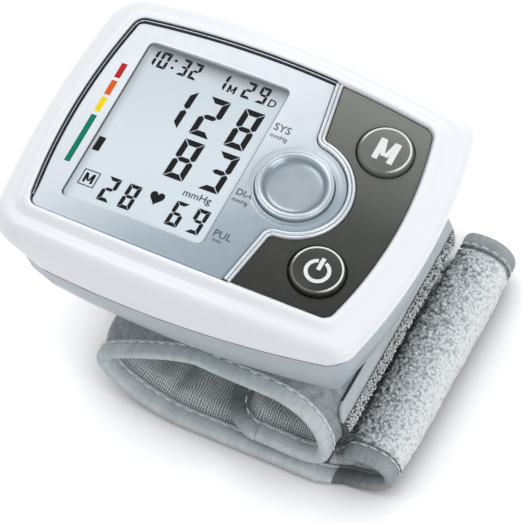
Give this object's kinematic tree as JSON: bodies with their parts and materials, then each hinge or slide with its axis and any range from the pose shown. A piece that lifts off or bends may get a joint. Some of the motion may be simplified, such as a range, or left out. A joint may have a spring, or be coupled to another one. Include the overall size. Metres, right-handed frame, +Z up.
{
  "type": "wrist blood pressure monitor",
  "caption": "Wrist blood pressure monitor: arched housing with a display, round buttons and a sliding battery door, on a padded cuff folded into a loop with an arching tail.",
  "frame": {"origin": "middle of the bounding box's footprint, at the table", "axes": "+X to the right of the display, +Y towards its top, +Z up out of the display"},
  "size_m": [0.0916, 0.0662, 0.0599],
  "materials": {
    "white_gloss": "gloss",
    "grey_shell": "satin",
    "silver_paint": "satin",
    "dark_panel": "semi-gloss",
    "bright_trim": "gloss",
    "clear_lens": "clear",
    "display_glass": "satin",
    "natural_plastic": "matte",
    "board": "satin",
    "black_plastic": "matte",
    "steel": "bright",
    "cell_jacket": "satin",
    "soft_tube": "matte",
    "outer_cloth": "woven",
    "lining_cloth": "knitted",
    "tape": "satin weave",
    "loop_pile": "looped pile",
    "rubber": "matte"
  },
  "bodies": {
    "cuffed_housing": {"top_shell": "white_gloss", "bottom_shell": "grey_shell", "faceplate": "silver_paint", "button_panel": "dark_panel", "divider_trim": "bright_trim", "centre_medallion": "silver_paint", "display_window": "clear_lens", "lcd_panel": "display_glass", "lcd_holder": "natural_plastic", "lcd_ribbon": "natural_plastic", "circuit_board": "board", "controller_chip": "black_plastic", "memory_switch": "black_plastic", "power_switch": "black_plastic", "battery_outer": "cell_jacket", "battery_inner": "cell_jacket", "contact_bridge": "steel", "contact_negative": "steel", "contact_positive": "steel", "pump_motor": "steel", "pump_head": "natural_plastic", "air_manifold": "natural_plastic", "release_valve": "black_plastic", "pressure_sensor": "black_plastic", "pump_tube": "soft_tube", "sensor_tube": "soft_tube", "cuff_tube": "soft_tube", "case_screw_front": "steel", "case_screw_back": "steel", "case_screw_end": "steel", "cuff_outer_fabric": "outer_cloth", "cuff_stiffener": "natural_plastic", "cuff_bladder": "rubber", "cuff_lining": "lining_cloth", "cuff_front_binding": "tape", "cuff_back_binding": "tape", "cuff_clamp_plate": "natural_plastic", "clamp_screw_left_front": "steel", "clamp_screw_left_back": "steel", "clamp_screw_right_front": "steel", "clamp_screw_right_back": "steel", "inner_end_binding": "tape", "hook_strip": "tape"},
    "memory_button": {"memory_button": "dark_panel", "memory_switch_plunger": "natural_plastic"},
    "power_button": {"power_button": "dark_panel", "power_switch_plunger": "natural_plastic"},
    "battery_door": {"battery_door": "grey_shell"},
    "tail": {"tail_flap": "loop_pile", "tail_front_binding": "tape", "tail_back_binding": "tape"}
  },
  "joints": [
    {"name": "memory_press", "type": "slide", "parent": "cuffed_housing", "child": "memory_button", "axis": [0, 0, -1], "range_m": [0, 0.0006], "stiffness_N_per_m": 2500, "springref_m": -0.0001},
    {"name": "power_press", "type": "slide", "parent": "cuffed_housing", "child": "power_button", "axis": [0, 0, -1], "range_m": [0, 0.0006], "stiffness_N_per_m": 2500, "springref_m": -0.0001},
    {"name": "battery_door_slide", "type": "slide", "parent": "cuffed_housing", "child": "battery_door", "axis": [-1, 0, 0], "range_m": [0, 0.026]},
    {"name": "tail_fold", "type": "hinge", "parent": "cuffed_housing", "child": "tail", "pos_m": [0.04582, -0.00015, 0.00575], "axis": [0, 1, 0], "range_deg": [0, 95]}
  ]
}
